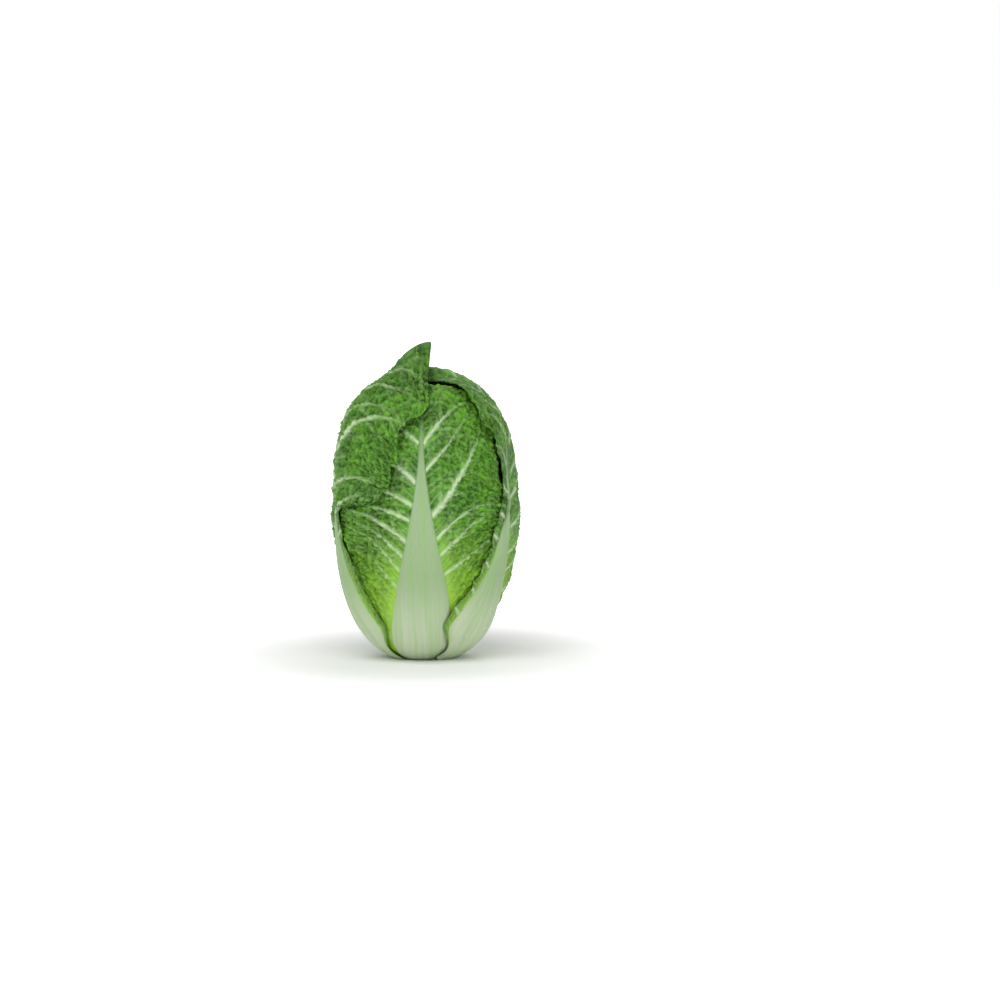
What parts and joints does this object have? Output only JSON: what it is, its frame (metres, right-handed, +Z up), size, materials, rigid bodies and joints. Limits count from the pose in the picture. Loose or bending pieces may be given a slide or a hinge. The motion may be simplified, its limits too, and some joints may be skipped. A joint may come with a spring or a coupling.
{
  "type": "napa cabbage",
  "caption": "Whole barrel-shaped cabbage head with broad pale ribs and crinkled green wrapper leaves, standing on its trimmed butt.",
  "frame": {"origin": "centre of the stem's cut face, on the plane that the head stands on", "axes": "+Z up the stem towards the leaf tips, -Y towards the viewer of the picture, +X to the viewer's right"},
  "size_m": [0.1736, 0.1691, 0.3],
  "materials": {
    "leaf_green": "satin leaf with pale ribs",
    "leaf_pale": "satin leaf",
    "heart_yellow": "satin leaf",
    "stem_ivory": "matte cut stem"
  },
  "bodies": {
    "root": {"stem": "stem_ivory", "heart": "heart_yellow", "inner_leaf_left": "leaf_pale", "inner_leaf_right": "leaf_pale", "inner_leaf_front": "leaf_pale", "back_leaf": "leaf_green", "back_right_leaf": "leaf_green", "front_leaf": "leaf_green", "right_leaf": "leaf_green", "left_leaf": "leaf_green"}
  },
  "joints": []
}
